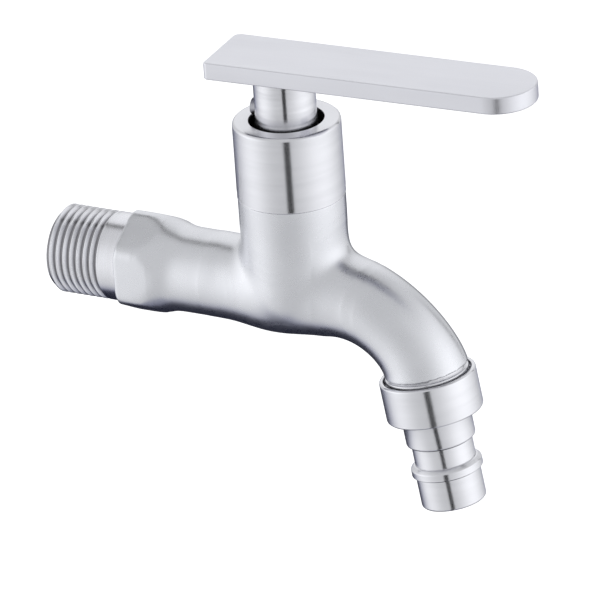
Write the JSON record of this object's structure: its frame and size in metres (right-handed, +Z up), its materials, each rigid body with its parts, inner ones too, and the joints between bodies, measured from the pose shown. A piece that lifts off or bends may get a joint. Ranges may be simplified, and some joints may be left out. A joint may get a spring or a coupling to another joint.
{
  "type": "outdoor wall tap",
  "caption": "Wall-mounted outdoor tap with a round tower under a flat quarter-turn lever, a curved spout and a stepped hose tail held by a ring nut.",
  "frame": {"origin": "centre of the shoulder behind the inlet thread, on the inlet's axis", "axes": "+X from the wall towards the spout along the inlet's axis, +Z up along the tower, +Y to the left of someone looking from the wall"},
  "size_m": [0.1264, 0.0254, 0.1086],
  "materials": {
    "cast_steel": "satin cast stainless steel",
    "turned_steel": "brushed stainless steel",
    "screw_steel": "plain steel",
    "brass": "turned brass",
    "rubber": "matt black rubber",
    "ceramic": "ground ceramic",
    "insert_plastic": "moulded plastic"
  },
  "bodies": {
    "tap": {"tap_body": "cast_steel", "headwork_body": "brass", "headwork_seal": "rubber", "cap": "turned_steel", "cap_ring": "rubber", "thrust_washer": "insert_plastic", "fixed_disc": "ceramic", "seat_seal": "rubber"},
    "handle": {"handle_hub": "turned_steel", "spline_insert": "insert_plastic", "lever": "turned_steel", "grub_screw": "screw_steel", "spindle": "brass", "spindle_seal_lower": "rubber", "spindle_seal_upper": "rubber", "spindle_clip": "screw_steel", "moving_disc": "ceramic"},
    "outlet": {"hose_tail": "turned_steel", "outlet_washer": "rubber"},
    "nut": {"union_nut": "turned_steel"}
  },
  "joints": [
    {"name": "handle_turn", "type": "hinge", "parent": "tap", "child": "handle", "pos_m": [0.0434, 0, 0.0236], "axis": [0, 0, 1], "range_deg": [0, 90]},
    {"name": "outlet_slide", "type": "slide", "parent": "tap", "child": "outlet", "axis": [0.1582, 0, -0.9874], "range_m": [0, 0.006]},
    {"name": "nut_turn", "type": "hinge", "parent": "outlet", "child": "nut", "pos_m": [0.0763, 0, -0.01743], "axis": [0.1582, 0, -0.9874], "range_deg": [0, 1190.8]}
  ],
  "couplings": [
    {"joint": "nut_turn", "follows": "outlet_slide", "rad_per_m": 3463.7}
  ]
}
